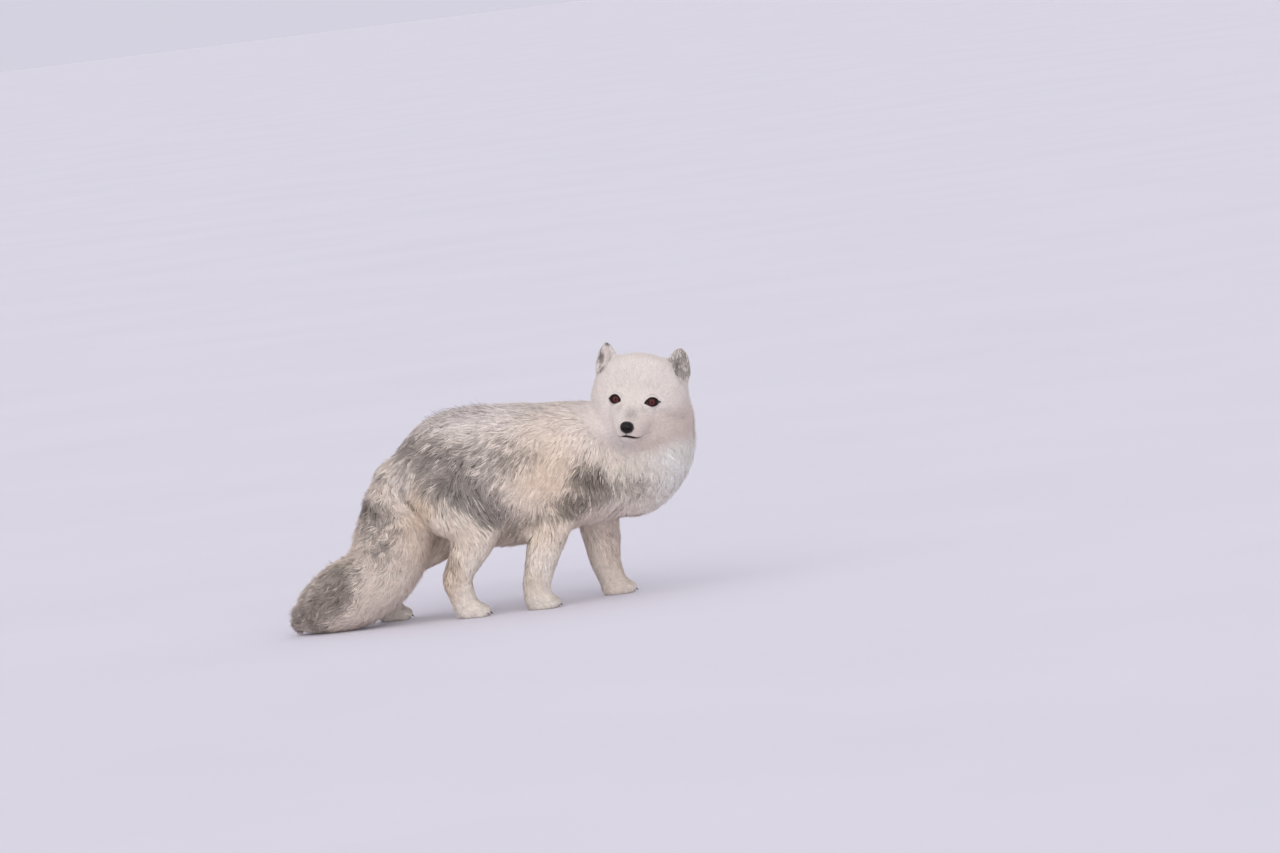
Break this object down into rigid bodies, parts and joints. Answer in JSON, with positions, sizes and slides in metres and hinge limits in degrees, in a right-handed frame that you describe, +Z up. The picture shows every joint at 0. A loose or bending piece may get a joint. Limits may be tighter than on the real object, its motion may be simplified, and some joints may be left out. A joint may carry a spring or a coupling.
{
  "type": "arctic fox",
  "caption": "Still, life-size arctic fox in winter coat, in mid stride with its head turned over its right shoulder and its brush resting on the ground.",
  "frame": {"origin": "middle of the footprint of the fox's bounding box, on the level of its soles", "axes": "+X the way the body faces, +Y its left side, +Z up; the head is turned to the fox's right, towards -Y"},
  "size_m": [0.6076, 0.213, 0.3626],
  "materials": {
    "coat_body": "long soft fur, creamy white with a grey patch on the haunch and the shoulder",
    "coat_head": "short soft fur, white",
    "coat_ear": "short fur, grey inside the ear",
    "coat_leg": "short fur, cream with a tan tint",
    "coat_brush": "long fur, cream speckled with grey",
    "coat_brush_end": "long fur, grey-brown",
    "nose": "wet black nose leather",
    "eye": "glossy reddish-brown glass eye"
  },
  "bodies": {
    "root": {"trunk": "coat_body", "neck": "coat_body", "head": "coat_head", "ear_left": "coat_ear", "ear_right": "coat_ear", "eye_left": "eye", "eye_right": "eye", "nose": "nose", "foreleg_left": "coat_leg", "foreleg_right": "coat_leg", "forepaw_left": "coat_leg", "forepaw_right": "coat_leg", "hindleg_left": "coat_leg", "hindleg_right": "coat_leg", "hindpaw_left": "coat_leg", "hindpaw_right": "coat_leg", "tail_root": "coat_brush", "tail": "coat_brush", "tail_end": "coat_brush_end"}
  },
  "joints": []
}
